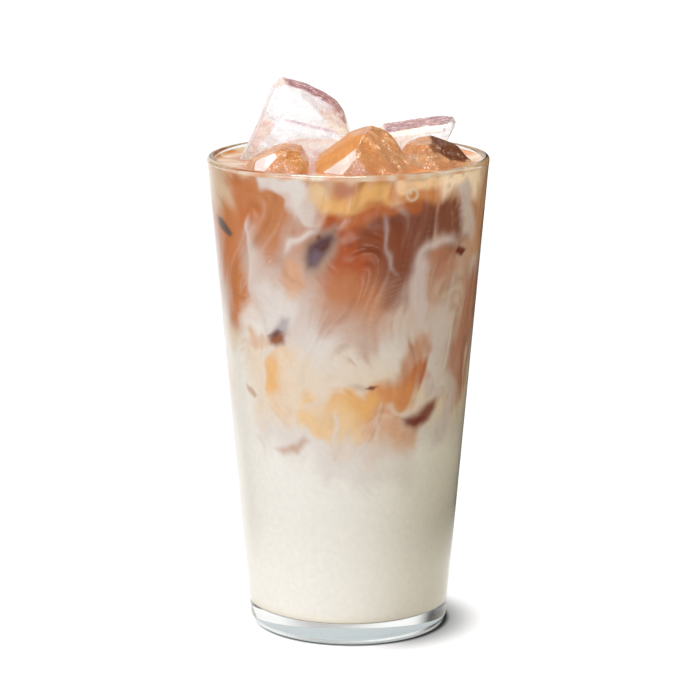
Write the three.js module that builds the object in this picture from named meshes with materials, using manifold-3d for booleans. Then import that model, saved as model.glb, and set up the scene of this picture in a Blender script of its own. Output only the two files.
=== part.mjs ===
// An iced latte in a clear conical tumbler, in millimetres, +Z up.
// The origin is the middle of the foot, on the surface that the glass stands on.
// Nodes: the glass, the milk layer, the coffee layer on it and the five ice blocks that stand out of it.
import * as THREE from "three";
import { mergeVertices } from "three/addons/utils/BufferGeometryUtils.js";
import Module from "manifold-3d";

const wasm = await Module();
wasm.setup();

// Driving dimensions of the glass
const GLASS_HEIGHT = 150;
const RIM_RADIUS = 44;
const FOOT_RADIUS = 31.2; // of the outer cone where it would meet the table
const RIM_WALL = 2.3;
const FLOOR_WALL = 3.0;
const FLOOR_THICKNESS = 6;
const FOOT_ROUNDING = 2.7;
const FLOOR_ROUNDING = 5;
const PUNT_RADIUS = 25.5; // the shallow hollow under the foot
const PUNT_DEPTH = 0.8;
const PUNT_SLOPE = 1.5;

// Driving dimensions of the drink
const DRINK_LEVEL = 148;
const MILK_LEVEL = 57; // mean height of the border between milk and coffee
const GAP = 0.3; // between pieces that touch

// Fineness of the round pieces
const SIDES = 64;
const ARC_STEPS = 5;
const SURFACE_RINGS = 6;

// Ice: each block is the space inside its flats, which are [heading, lean, reach].
// Heading 0 faces the front and 90 the right, lean 90 faces up (degrees); reach is mm from the block's middle.
const ICE_CHAMFER = 1.5;
const ICE_BLANK = 60; // side of the block before its flats are cut
const ICE_BLOCKS = {
  ice_back_left: {
    middle: [-17, 9, 157],
    color: 0xeef0f2,
    flats: [
      [-80, 27, 11.3],
      [78, 76, 13.4],
      [80, 42, 14],
      [95, -8, 18.3],
      [6, 24, 9.7],
      [-4, -14, 10.9],
      [175, 0, 11.5],
      [-125, 10, 13],
      [0, -90, 16],
    ],
  },
  ice_back_right: {
    middle: [21.5, 18.5, 149.5],
    color: 0xeef0f2,
    flats: [
      [-62, 81.5, 7.9],
      [86, -24, 8.3],
      [-90, 0, 12.5],
      [4, 4, 9.5],
      [135, 0, 12.3],
      [178, 0, 9],
      [0, -90, 12],
    ],
  },
  ice_centre: {
    middle: [5, -16.5, 146],
    color: 0xd9a76a,
    flats: [
      [-86, 53, 12.3],
      [0, 88, 15.1],
      [78, 46, 12.9],
      [-15, 20, 12.4],
      [48, 40, 11.9],
      [180, 10, 12],
      [115, 0, 14.3],
      [-90, -25, 13.5],
      [10, -30, 14],
      [0, -90, 12],
    ],
  },
  ice_front_left: {
    middle: [-20.5, -19, 147],
    color: 0xd6a061,
    flats: [
      [-86, 50, 9.3],
      [-80, 76, 8.5],
      [75, 55, 10],
      [88, 0, 8.3],
      [-12, 14, 8.4],
      [172, 5, 8],
      [-75, -10, 9],
      [0, -90, 8.5],
    ],
  },
  ice_right: {
    middle: [28, -7, 146.5],
    color: 0xb87a45,
    flats: [
      [-80, 51, 10.9],
      [70, 80, 8.7],
      [84, 60, 9.7],
      [86, 42, 10.1],
      [10, 38, 9],
      [-65, 0, 8.7],
      [20, -10, 12],
      [50, 0, 10.2],
      [88, 0, 12.2],
      [125, 0, 10],
      [180, 0, 10],
      [0, -90, 12],
    ],
  },
};

// Radius of the glass at a height, outside and inside
function outerRadius(z) {
  return FOOT_RADIUS + ((RIM_RADIUS - FOOT_RADIUS) * z) / GLASS_HEIGHT;
}

function innerRadius(z) {
  const up = (z - FLOOR_THICKNESS) / (GLASS_HEIGHT - FLOOR_THICKNESS);
  return outerRadius(z) - FLOOR_WALL - (RIM_WALL - FLOOR_WALL) * up;
}

// Points of an arc in the profile plane, angles in degrees from +radius towards +height
function arc(radius, middleRadius, middleHeight, from, to, steps = ARC_STEPS) {
  return Array.from({ length: steps + 1 }, (_, i) => {
    const angle = THREE.MathUtils.degToRad(from + ((to - from) * i) / steps);
    return new THREE.Vector2(
      middleRadius + radius * Math.cos(angle),
      middleHeight + radius * Math.sin(angle),
    );
  });
}

// A profile turned about the vertical axis
function turned(profile) {
  return new THREE.LatheGeometry(profile, SIDES).rotateX(Math.PI / 2);
}

// Height of the border between milk and coffee above or below its mean, over the plan
function plume(x, y) {
  const broad = 3.2 * Math.sin(x / 7.5 + 0.6);
  const fine = 2.4 * Math.sin(x / 14 + y / 9 + 1.1);
  return broad + fine;
}

// Moves the vertices of the chosen profile points of a turned piece up by the plumes, along the glass's slope
function raisePlumes(geometry, pointsInProfile, isBorder) {
  const at = geometry.attributes.position;
  for (let i = 0; i < at.count; i++) {
    if (!isBorder(i % pointsInProfile)) continue;
    const lift = plume(at.getX(i), at.getY(i));
    const widen = (innerRadius(MILK_LEVEL + lift) - GAP) / (innerRadius(MILK_LEVEL) - GAP);
    at.setXYZ(i, at.getX(i) * widen, at.getY(i) * widen, at.getZ(i) + lift);
  }
  return geometry;
}

// Ring radii of a liquid surface, from the wall to the axis
function surfaceRings(wallRadius, z) {
  return Array.from(
    { length: SURFACE_RINGS + 1 },
    (_, i) => new THREE.Vector2(wallRadius * (1 - i / SURFACE_RINGS), z),
  );
}

// Profile of the inside of the glass near its floor, moved in by a gap
function floorCorner(gap) {
  const z = FLOOR_THICKNESS + gap;
  const rounding = FLOOR_ROUNDING - gap;
  const side = innerRadius(FLOOR_THICKNESS + FLOOR_ROUNDING) - gap;
  return arc(rounding, side - rounding, z + rounding, -90, 0);
}

function glassGeometry() {
  const footFlat = outerRadius(FOOT_ROUNDING) - FOOT_ROUNDING;
  const lip = RIM_WALL / 2;
  const profile = [
    new THREE.Vector2(0, PUNT_DEPTH),
    new THREE.Vector2(PUNT_RADIUS - PUNT_SLOPE, PUNT_DEPTH),
    new THREE.Vector2(PUNT_RADIUS, 0),
    ...arc(FOOT_ROUNDING, footFlat, FOOT_ROUNDING, -90, 0),
    ...arc(lip, RIM_RADIUS - lip, GLASS_HEIGHT - lip, 0, 180, 2 * ARC_STEPS),
    ...floorCorner(0).reverse(),
    new THREE.Vector2(0, FLOOR_THICKNESS),
  ];
  return turned(profile);
}

function milkGeometry() {
  const corner = floorCorner(GAP);
  const top = surfaceRings(innerRadius(MILK_LEVEL) - GAP, MILK_LEVEL);
  const profile = [new THREE.Vector2(0, FLOOR_THICKNESS + GAP), ...corner, ...top];
  const firstOfTop = profile.length - top.length;
  return raisePlumes(turned(profile), profile.length, (point) => point >= firstOfTop);
}

function coffeeGeometry() {
  const bottom = surfaceRings(innerRadius(MILK_LEVEL) - GAP, MILK_LEVEL + GAP).reverse();
  const profile = [
    ...bottom,
    new THREE.Vector2(innerRadius(DRINK_LEVEL) - GAP, DRINK_LEVEL),
    new THREE.Vector2(0, DRINK_LEVEL),
  ];
  return raisePlumes(turned(profile), profile.length, (point) => point < bottom.length);
}

// A closed geometry as a solid that can be cut, and back
function solidOf(geometry) {
  const bare = geometry.clone();
  bare.deleteAttribute("normal");
  bare.deleteAttribute("uv");
  const merged = mergeVertices(bare);
  return new wasm.Manifold(
    new wasm.Mesh({
      numProp: 3,
      vertProperties: merged.attributes.position.array,
      triVerts: new Uint32Array(merged.index.array),
    }),
  );
}

function geometryOf(solid) {
  const mesh = solid.getMesh();
  const geometry = new THREE.BufferGeometry();
  geometry.setAttribute("position", new THREE.BufferAttribute(mesh.vertProperties, 3));
  geometry.setIndex(new THREE.BufferAttribute(mesh.triVerts, 1));
  geometry.computeVertexNormals();
  return geometry;
}

// The flats of a block as planes, with one more across each edge for its chamfer
function icePlanes(block) {
  const flats = block.flats.map(([heading, lean, reach]) => {
    const turn = THREE.MathUtils.degToRad(heading);
    const tilt = THREE.MathUtils.degToRad(lean);
    const level = Math.cos(tilt);
    const normal = new THREE.Vector3(level * Math.sin(turn), -level * Math.cos(turn), Math.sin(tilt));
    return { normal, reach };
  });
  const chamfers = flats.flatMap((a, i) =>
    flats.slice(i + 1).map((b) => {
      const between = a.normal.clone().add(b.normal);
      const edgeReach = (a.reach + b.reach) / between.length();
      return { normal: between.normalize(), reach: edgeReach - ICE_CHAMFER };
    }),
  );
  return [...flats, ...chamfers];
}

// A block of ice cut to its planes, grown all round by a margin
function iceSolid(block, margin) {
  const blank = new THREE.BoxGeometry(ICE_BLANK, ICE_BLANK, ICE_BLANK);
  const cut = icePlanes(block).reduce(
    (solid, { normal, reach }) => solid.trimByPlane(normal.clone().negate().toArray(), -reach - margin),
    solidOf(blank),
  );
  return cut.translate(block.middle);
}

function drinkRoundIce(geometry) {
  const cut = Object.values(ICE_BLOCKS).reduce(
    (drink, block) => drink.subtract(iceSolid(block, GAP)),
    solidOf(geometry),
  );
  return geometryOf(cut);
}

const latte = new THREE.Group();

function addPiece(name, geometry, look) {
  const piece = new THREE.Mesh(geometry, new THREE.MeshStandardMaterial({ metalness: 0, ...look }));
  piece.name = name;
  latte.add(piece);
}

addPiece("glass", glassGeometry(), { color: 0xf2f5f5, roughness: 0.03, transparent: true, opacity: 0.35 });
addPiece("milk", milkGeometry(), { color: 0xefe6db, roughness: 0.35 });
addPiece("coffee", drinkRoundIce(coffeeGeometry()), { color: 0xcf9a62, roughness: 0.3 });
for (const [name, block] of Object.entries(ICE_BLOCKS)) {
  addPiece(name, geometryOf(iceSolid(block, 0)), { color: block.color, roughness: 0.08 });
}

export default latte;
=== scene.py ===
"""Looks of an iced latte in a clear conical tumbler.

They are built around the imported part, in its own frame: metres, +Z up.
"""

import math

import bmesh
import bpy
import numpy as np
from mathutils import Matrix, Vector, noise


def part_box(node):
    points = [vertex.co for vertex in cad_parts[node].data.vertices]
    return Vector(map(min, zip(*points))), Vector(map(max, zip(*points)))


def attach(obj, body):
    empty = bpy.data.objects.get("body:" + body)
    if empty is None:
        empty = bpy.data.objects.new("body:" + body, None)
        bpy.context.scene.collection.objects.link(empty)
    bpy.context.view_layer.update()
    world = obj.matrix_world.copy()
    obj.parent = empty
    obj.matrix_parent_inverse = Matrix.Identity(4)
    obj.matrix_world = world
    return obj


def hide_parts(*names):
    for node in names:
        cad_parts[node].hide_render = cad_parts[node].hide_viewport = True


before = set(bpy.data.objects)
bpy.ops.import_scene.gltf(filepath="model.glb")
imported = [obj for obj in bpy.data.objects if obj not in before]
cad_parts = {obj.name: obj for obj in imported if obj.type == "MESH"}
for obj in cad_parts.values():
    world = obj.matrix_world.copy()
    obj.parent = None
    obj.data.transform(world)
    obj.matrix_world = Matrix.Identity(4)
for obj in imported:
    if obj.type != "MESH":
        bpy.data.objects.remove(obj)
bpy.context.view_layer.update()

MM = 0.001

# Camera, fitted to the rim and the foot of the glass
PHOTO_SIDE_PX = 700
FOCAL_PX = 2805
SENSOR_MM = 36
CAMERA_MM = (0, -866.55, 276.69)
AIM_MM = (0.54, 0, 87.75)
FURTHEST_SEEN_M = 100

# Stage, in millimetres and degrees
FLOOR_SIDE = 16000
FLOOR_DROP = 0.05
FLOOR_GRAIN = 3
FLAG_AWAY = 75
FLAG_HEIGHT = 150
FLAG_FADE = 20
FLAG_HEADINGS = (-124, 180)
FLAG_END_FADE = 30
FLAG_COLUMNS = 60
BACKDROP_AWAY = 2500
BACKDROP_HEIGHT = 2200
BACKDROP_LEFT = 3000
BACKDROP_DIM = (-2600, -1300)  # its left end darkens over this stretch
BACKDROP_RIGHT = 8800
WHITE_CARD_LEFT = 1300
WHITE_CARD_RIGHT = 250
GREY_SPOT = (450, 2500, 545)  # middle of a soft shade on the backdrop
GREY_SPOT_RADIUS = 1300
GREY_SPOT_LIGHT = 0.5
SHADE_AWAY = 80
SHADE_HEIGHT = 34
SHADE_HEADINGS = (35, 150)
# Painted shadow on the floor, for the shadow that the glass and the drink don't cast: a soft shade to the
# right of the foot and a dark contact line under its rounded edge. Under the foot a painted shade, lifted
# by a painted glow for the light that the glass gathers there
CONTACT_SHADE = (23, 41)  # distances from its middle, from the darkest to bare floor
CONTACT_SHADE_MIDDLE = (6, -1, 0)
CONTACT_SHADE_LIGHT = 0.25
CONTACT_SHADE_START = (-4, 24)  # the shade sets in from left to right
CONTACT_RING = (28.8, 29.6, 30.4, 31.8)  # from bare floor through the dark line and out again
CONTACT_RING_SHIFT = (1.1, 0, 0)
CONTACT_RING_LIGHT = 0.1
UNDER_FOOT_LIGHT = 0.39
UNDER_FOOT_GLOW = 0.36
FLOOR_GLOW = 0.16

# Lights: headings and leans in degrees, places and sizes in metres
STUDIO_LIGHT = 0.03
OVERHEAD = {"energy": 3.4, "angle": math.radians(32), "color": (1.0, 0.985, 0.94)}
OVERHEAD_FROM = (-100, 82)
SOFTBOX = {"shape": "RECTANGLE", "size": 0.8, "size_y": 0.8, "energy": 9.1, "color": (0.88, 0.97, 1.42)}
SOFTBOX_FROM = (-38, 14)
SOFTBOX_AWAY = 1.0
SOFTBOX_AIM = (0, 0, 0.09)
FILL = {"size": 0.12, "energy": 0.1, "color": (1.0, 0.95, 0.88)}
FILL_PLACE = (0.16, -0.1, 0.22)
FILL_AIM = (0.03, 0, 0.12)

# Glass, in millimetres
GLASS_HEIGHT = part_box("glass")[1].z / MM
RIM_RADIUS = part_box("glass")[1].x / MM
FOOT_RADIUS = 31.2
RIM_WALL = 2.3
FLOOR_WALL = 3.0
FLOOR_THICKNESS = 6
FOOT_ROUNDING = 2.7
FLOOR_ROUNDING = 5
PUNT_RADIUS = 25.5
PUNT_DEPTH = 0.8
PUNT_SLOPE = 1.5
PUNT_CURVE = ((2, 1), (1, 0.9), (0.5, 0.5), (0.2, 0.1), (0, 0))  # shares of its slope and depth
WALL_FROM = 6  # height of the lowest row of the outer wall
WALL_BELOW_RIM = 4
WALL_ABOVE_CORNER = 3
WALL_ROWS = 18
FOOT_STEPS = 14
RIM_STEPS = 16
CORNER_STEPS = 12
GLASS_SIDES = 256

# Drink, in millimetres and degrees
DRINK_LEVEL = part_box("coffee")[1].z / MM
WALL_REACH = 0.08
ICE_REACH = 0.08
MENISCUS_RISE = 0.9
MENISCUS_WIDTH = 2.6
MENISCUS_FROM = 0.12  # share of its width at its first row
MENISCUS_ROWS = 8
DRINK_CORNER_STEPS = 10
PLAIN_ABOVE_CORNER = 0.7
PLAIN_ROWS = 14
MARBLED_FROM = 45
DRINK_ROWS = 200
DRINK_SIDES = 340
FRONT_FINENESS = 0.4  # how much closer the sides stand at the front
SURFACE_RINGS = 26
SURFACE_MARGIN = 0.01
SURFACE_LEVELNESS = 0.2
SHARP_EDGE = 38

# Ice, in millimetres
ICE_VOXEL = 0.55
ICE_NODES = ("ice_back_left", "ice_back_right", "ice_centre", "ice_front_left", "ice_right")
CLEAR_ICE_NODES = ("ice_back_left", "ice_back_right")
ICE_WELD = 0.001
MELT_FACTOR = 0.5
MELT_STEPS = 5
RIPPLE_SIZE = 7
RIPPLE_DEPTH = 0.35
FINE_RIPPLE_SIZE = 2.2
FINE_RIPPLE_DEPTH = 0.1
RIPPLE_SINK = 0.1
FILM_EDGE = (1.2, 0.6)  # shares of its spread between which a film sets in

# Grain of the materials: sizes and depths in mm, and two levels with the values that they stand for
GLASS_WAVE_SIZE = 22
GLASS_WAVE_DEPTH = 0.4
GLASS_WAVE_STRENGTH = 0.05
FILM_PATCH_SIZE = 1.6
FILM_THINNED = (0.4, 0.58, 0.55, 0.0)
# painted glints: pale specks on the ice that stand for sparkle
GLINTS_SHOWN = (0.56, 0.64, 0.0, 0.9)
GLINT_DISTORTION = 1.5
STAINS_SHOWN = (0.46, 0.57, 1.0, 0.0)
ICE_ROUGHNESS = (0.0, 1.0, 0.02, 0.5)
ICE_SKIN_DEPTH = 0.4
FINE_DETAIL = 4.0
LATTE_GRAIN_SIZE = 1.6
LATTE_GRAIN = (0.0, 1.0, 0.93, 1.07)

# Whirls of the drink: seed, sizes in mm and waves of each size, and the steps that they carry it
CURLS = (4, [13, 7], 6)
CURL_STEPS = 3
BENDS = (5, [26, 14], 5)
BEND_STEPS = 5
SWAYS = (3, [50, 28], 5)
FALLING_FLOW = (8, [34, 18], 5)
SURFACE_FLOW = (2, [44, 26], 5)
SURFACE_STEPS = 24
SURFACE_PATCHES = (6, [34, 20, 11], 5)
EDDY_STEP = 0.16
MEAN_RADIUS = 40  # of the wall that is unrolled

# Streaks and threads drawn out in the drink, sizes in mm
STREAK_SEED = 9
STREAK_SIZES = [11, 7, 4.5]
THREAD_SIZES = [4, 2.8, 2]
STREAK_WAVES = 8
STREAK_STEPS = 12
STREAK_DRIFTS = 2
STREAK_FALL = 0.5
STREAK_LIKENESS = 3  # how many steps look alike

# How the strokes and layers meet: widths and heights in mm, headings in degrees
CURVE_STEPS = 5
STROKE_END = 0.25  # share of a stroke over which it fades out
FOLD_EDGE = 0.5
POOL_FADE = (1.35, 0.35)  # in half widths
POOL_FIBRE = 0.12
BACK_STARTS = (70, 110)
SWAY_REACH = (4, 13)  # at the front and at the back
STREAK_REACH = (1, 4)
COFFEE_GAIN = 1.4
MILK_STREAKS = (0.16, 0.2, 1.6)  # strength, and the levels between which they set in
MILK_THREADS = (0.2, 0.3, 1.8)
COFFEE_THREADS = (0.16, 0.5, 1.8)
COFFEE_THREADS_FROM = (58, 80)
DARK_STREAKS = (0.14, 0, -1.6)
DARK_THREADS = (0.14, -0.2, -1.6)
SUNK_ICE_CURL = 0.3
# Painted reflection and painted light at the foot: heights of a thin brown line painted at the milk's
# bottom edge, and of its underside painted pale blue-grey
EDGE_REFLECTION_LINE = 0.7
MILK_UNDERSIDE = 0.3
TOP_MARGIN = 0.05
HOLLOW_FROM_WALL = 0.6
HOLLOW_DEPTH = 40
HOLLOW_FADE = 12
STIRRED = (-1.1, 1.3)
WATERLINE = 0.6
COPPER_ROUND_ICE = (0.9, 6, 0.5)  # strength, and the distances from the ice between which it sets in
AMBER_ROUND_ICE = (0.9, 3.6, 0.3)

# Tones of the drink, from milk to coffee, and of the ice sunk in it
TONES = {
    "milk": "#E3D9BF",
    # painted light: a pale blue-grey for the milk's underside, as the glass foot shows it
    "shade": "#E3EAEA",
    "linen": "#D6C8B0",
    "stone": "#CDB8A6",
    "haze": "#C7AB90",
    "fawn": "#BE9577",
    "peach": "#DDC5A0",
    "almond": "#D0AF86",
    "sand": "#E1B880",
    "honey": "#DFA660",
    "apricot": "#D09A6E",
    "blush": "#D9B18C",
    "copper": "#D0884F",
    "melon": "#F8CC96",
    "cream": "#FBDFBA",
    "toffee": "#BE7440",
    "amber": "#BC6836",
    "chestnut": "#B77445",
    # painted reflection: the thin brown line at the milk's bottom edge, as the glass foot shows it
    "painted_edge_reflection": "#A48B78",
    "rose": "#BC7C50",
    "mocha": "#B27658",
    "rust": "#A64E26",
    "walnut": "#804C37",
    "bark": "#84401F",
    "plum": "#563B38",
    "dusk": "#7C686A",
    "sage": "#A98F74",
    "slate": "#5F5349",
    "maroon": "#6A2C1E",
    "cocoa": "#7C4234",
    "russet": "#8A4F30",
    "clay": "#B98B68",
}

# Tone of the drink at each height in mm, before it is marbled
LAYERS = [
    (57, "milk"),
    (68, "linen"),
    (80, "peach"),
    (94, "linen"),
    (108, "haze"),
    (122, "fawn"),
    (134, "chestnut"),
    (150, "almond"),
]

# Pools, soft all round: tone, strength, half width in mm, and a path of pixels in the front picture
POOLS = [
    ("almond", 0.9, 7, [(214, 178), (219, 198), (223, 212)]),
    ("toffee", 0.95, 9.5, [(228, 232), (231, 258), (234, 285), (236, 306)]),
    ("peach", 0.8, 6, [(230, 330), (235, 350)]),
    ("milk", 0.7, 6, [(248, 324), (257, 336)]),
    ("milk", 0.85, 8, [(233, 362), (239, 388), (244, 416), (248, 440)]),
    ("chestnut", 0.95, 5.5, [(240, 188), (254, 191), (268, 199), (278, 210)]),
    ("fawn", 0.9, 8, [(256, 246), (268, 254)]),
    ("chestnut", 0.95, 9, [(247, 204), (258, 212), (266, 225)]),
    ("amber", 0.6, 5, [(237, 190), (240, 204), (244, 214)]),
    ("haze", 0.9, 8, [(256, 274), (268, 284)]),
    ("linen", 0.8, 7, [(262, 300), (280, 306)]),
    ("linen", 0.95, 2.4, [(258, 183), (276, 187), (291, 190)]),
    ("linen", 0.95, 4.2, [(288, 192), (294, 204), (302, 214)]),
    ("haze", 0.8, 4.5, [(306, 214), (314, 224)]),
    ("fawn", 0.7, 4.5, [(299, 234), (288, 252)]),
    ("apricot", 0.9, 4.2, [(284, 276), (291, 290)]),
    ("linen", 0.9, 4.5, [(284, 304), (274, 318)]),
    ("sand", 0.9, 3.4, [(312, 196), (328, 202)]),
    ("copper", 0.85, 4, [(340, 190), (372, 192)]),
    ("amber", 0.95, 4.5, [(336, 220), (356, 221), (384, 215), (420, 203), (446, 192)]),
    ("rust", 0.95, 10, [(344, 240), (352, 262), (350, 282)]),
    ("walnut", 0.95, 12, [(394, 228), (410, 238), (404, 258)]),
    ("walnut", 0.95, 8, [(418, 212), (440, 216), (460, 228)]),
    ("bark", 0.65, 7, [(384, 246), (390, 270)]),
    ("amber", 0.7, 3, [(348, 217), (372, 216), (398, 208), (420, 202)]),
    ("honey", 0.95, 2.8, [(326, 203), (352, 203), (378, 200), (402, 195)]),
    ("copper", 0.9, 2.6, [(398, 192), (420, 191), (446, 189)]),
    ("melon", 0.8, 2, [(400, 183), (430, 181), (470, 178)]),
    ("cream", 0.9, 5, [(455, 180), (467, 180), (480, 180)]),
    ("rose", 0.8, 9, [(345, 298), (372, 302)]),
    ("fawn", 0.7, 8, [(340, 325), (365, 335)]),
    ("walnut", 0.6, 6, [(396, 280), (402, 296)]),
    ("stone", 0.9, 3.6, [(424, 264), (424, 290), (427, 318)]),
    ("fawn", 0.8, 2.6, [(438, 268), (438, 288), (440, 306)]),
    ("mocha", 0.85, 4.5, [(440, 258), (449, 264), (450, 276)]),
    ("fawn", 0.7, 4, [(452, 280), (452, 300)]),
    ("stone", 0.9, 4.5, [(468, 194), (470, 212), (472, 230)]),
    ("apricot", 0.7, 6, [(484, 190), (481, 220), (478, 240)]),
    ("stone", 0.7, 3, [(478, 250), (474, 275)]),
    ("mocha", 0.95, 10, [(474, 292), (470, 318), (464, 348), (458, 376)]),
    ("stone", 0.7, 5, [(453, 390), (449, 412), (446, 430)]),
    ("stone", 0.8, 6, [(438, 318), (441, 345), (438, 385)]),
    ("peach", 0.8, 4.5, [(252, 344), (255, 366)]),
    ("apricot", 0.6, 3, [(252, 338), (264, 343)]),
    ("honey", 0.9, 3.8, [(280, 352), (271, 364), (269, 384)]),
    ("peach", 0.85, 8, [(284, 364), (296, 386), (318, 398)]),
    ("honey", 0.3, 3.6, [(268, 386), (276, 402), (284, 414)]),
    ("rose", 0.8, 5.2, [(421, 350), (418, 366), (410, 384), (400, 391)]),
    ("amber", 0.85, 3.6, [(426, 372), (421, 383), (410, 391)]),
    ("copper", 0.95, 5, [(408, 393), (392, 398), (370, 404)]),
    ("honey", 0.95, 5.5, [(370, 405), (345, 409), (330, 412)]),
    ("sand", 0.9, 5, [(312, 408), (314, 424), (326, 432)]),
    ("sand", 0.9, 7.5, [(322, 420), (338, 428), (356, 434)]),
    ("sand", 0.6, 4, [(334, 444), (344, 454)]),
    ("blush", 0.7, 4, [(362, 450), (376, 458)]),
    ("apricot", 0.9, 5, [(374, 424), (392, 430)]),
    ("apricot", 0.8, 6, [(386, 440), (406, 440)]),
    ("linen", 0.7, 8, [(335, 462), (372, 466), (402, 470)]),
]

# Folds, crisp along their path and fading out to its right: tone, strength, width in mm, path
FOLDS = [
    ("chestnut", 0.8, 7, [(240, 216), (236, 203), (233, 190), (231, 179)]),
    ("linen", 0.75, 2.6, [(249, 314), (246, 285), (245, 255), (243, 228), (248, 210)]),
    ("linen", 0.7, 3, [(283, 214), (281, 202), (274, 193), (262, 187)]),
    ("linen", 0.75, 3.4, [(320, 228), (306, 226), (296, 214), (290, 200)]),
    ("honey", 0.35, 2.5, [(396, 207), (366, 212), (340, 212), (322, 208), (310, 199)]),
    ("honey", 0.65, 6.5, [(264, 400), (262, 380), (263, 364), (270, 353)]),
    ("linen", 0.6, 4, [(296, 412), (302, 404), (312, 402), (322, 397), (334, 398)]),
    ("blush", 0.8, 4, [(350, 438), (362, 428), (373, 420), (390, 417), (405, 410)]),
    ("linen", 0.8, 4, [(456, 400), (446, 390), (436, 377), (431, 363), (432, 350)]),
    ("linen", 0.7, 3.4, [(304, 442), (312, 438), (322, 446), (334, 448)]),
    ("linen", 0.6, 4, [(336, 450), (344, 446), (356, 450), (368, 444), (384, 452)]),
    ("walnut", 0.5, 5, [(384, 276), (388, 252), (384, 228), (388, 212)]),
    ("fawn", 0.6, 3, [(428, 330), (431, 300), (432, 275), (436, 258)]),
]

# Wisps, thin and soft: tone, strength, half width in mm, path
WISPS = [
    ("linen", 0.8, 1.1, [(320, 228), (308, 233), (297, 240), (286, 247), (279, 262)]),
    ("stone", 0.4, 0.7, [(389, 208), (387, 222), (388, 244), (393, 264), (402, 284)]),
    ("stone", 0.85, 1.7, [(417, 278), (420, 262), (428, 250), (440, 242), (454, 239), (468, 241)]),
    ("linen", 0.7, 0.9, [(258, 364), (264, 353), (273, 347), (286, 342)]),
    ("linen", 0.7, 1.2, [(333, 412), (336, 426), (333, 442), (335, 456)]),
    ("linen", 0.5, 1.0, [(372, 420), (378, 430), (378, 446), (384, 456)]),
    ("stone", 0.6, 1.1, [(458, 262), (456, 285), (449, 312), (447, 345)]),
    ("linen", 0.25, 1.0, [(356, 214), (340, 226), (333, 232)]),
]

# Ice sunk in the drink, with one painted highlight and one painted shadow among the patches: tone,
# strength, blur in mm, and a flat-sided outline of pixels, clockwise
SUNK_ICE = [
    ("sage", 0.8, 2.0, [
        (299, 262), (304, 244), (316, 231), (333, 229), (340, 240), (334, 258), (318, 275), (305, 276)]),
    ("plum", 0.95, 1.9, [
        (304, 259), (307, 246), (317, 237), (331, 235), (335, 240), (326, 254), (315, 267), (306, 268)]),
    # painted highlight: a paler grey-lilac facet on the sunk ice
    ("dusk", 0.6, 1.2, [(306, 262), (313, 250), (322, 253), (315, 266)]),
    ("maroon", 0.7, 0.5, [(314, 237), (318, 235), (319, 239), (316, 241)]),
    ("maroon", 0.5, 0.6, [(319, 250), (327, 243), (329, 247), (322, 252)]),
    ("slate", 0.9, 0.7, [(216, 215), (220, 218), (230, 233), (228, 237), (223, 234), (217, 223)]),
    ("maroon", 0.95, 0.5, [(458, 252), (461, 246), (469, 249), (464, 256)]),
    # painted shadow: a grey shade above and to the right of the sunk ice
    ("dusk", 0.5, 1.4, [(271, 331), (279, 318), (286, 320), (285, 334)]),
    ("russet", 0.95, 1.3, [(265, 337), (273, 332), (282, 335), (281, 344), (273, 347), (267, 344)]),
    ("plum", 0.7, 0.7, [(265, 336), (275, 330), (281, 333), (272, 338)]),
    ("sage", 0.5, 0.8, [(350, 387), (358, 385), (368, 387), (366, 391), (354, 391)]),
    ("maroon", 0.9, 0.4, [(367, 389), (372, 387), (379, 389), (374, 392)]),
    ("clay", 0.7, 0.6, [(243, 385), (249, 387), (254, 395), (252, 398), (246, 392)]),
    ("clay", 0.7, 1.6, [
        (400, 418), (424, 408), (438, 394), (442, 398), (434, 416), (420, 432), (406, 428)]),
    ("cocoa", 0.95, 1.5, [(404, 419), (414, 417), (427, 413), (430, 419), (419, 428), (409, 426)]),
    ("maroon", 0.6, 0.8, [(411, 424), (424, 417), (426, 421), (416, 428)]),
    ("cocoa", 0.9, 1.6, [(423, 414), (430, 404), (438, 398), (438, 408), (433, 417), (425, 424)]),
    ("clay", 0.7, 1.5, [(274, 450), (290, 446), (294, 452), (281, 456)]),
    ("clay", 0.7, 1.5, [(288, 447), (302, 438), (307, 443), (294, 453)]),
    ("mocha", 0.85, 1.2, [(333, 187), (345, 184), (357, 186), (354, 194), (341, 198), (334, 194)]),
]

# Air trapped against the glass: pixel of its middle and its radius in mm
TRAPPED_AIR = [
    ((414.7, 195.3), 1.7),
    ((452, 186), 0.8),
    ((268, 262), 0.4),
    ((441, 177), 0.9),
    ((454, 175.5), 0.9),
    ((466, 173.5), 0.8),
]

# Bubbles: strength and levels of the darker inside, strength and width of the painted highlight round the
# rim and of the painted glint, and how far the glint sits off the middle
AIR_INSIDE = (0.5, 1, 0.6)
AIR_RIM = 0.8
AIR_RIM_WIDTH = 0.25
AIR_GLINT = 0.35

# Pools and folds that a rule scatters over the back: headings in degrees, heights and widths in mm
BACK_SEED = 21
BACK_HEADINGS = (98, 262)
BACK_FALL = (4, 9)
BACK_SWAY = 3.5
BACK_POOLS = 34
BACK_POOL_CORNERS = 3
BACK_POOL_STRENGTHS = (0.6, 0.9)
BACK_POOL_WIDTHS = (3.5, 8)
COFFEE_HEIGHTS = (124, 150)
MILK_HEIGHTS = (84, 146)
BACK_FOLDS = 22
BACK_FOLD_CORNERS = 4
BACK_FOLD_STRENGTHS = (0.4, 0.8)
BACK_FOLD_WIDTHS = (2, 5)
BACK_FOLD_HEIGHTS = (96, 150)
COFFEE_TONES = ["rust", "walnut", "chestnut", "amber", "mocha", "toffee"]
MILK_TONES = ["linen", "haze", "peach", "sand", "honey", "blush"]

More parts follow.
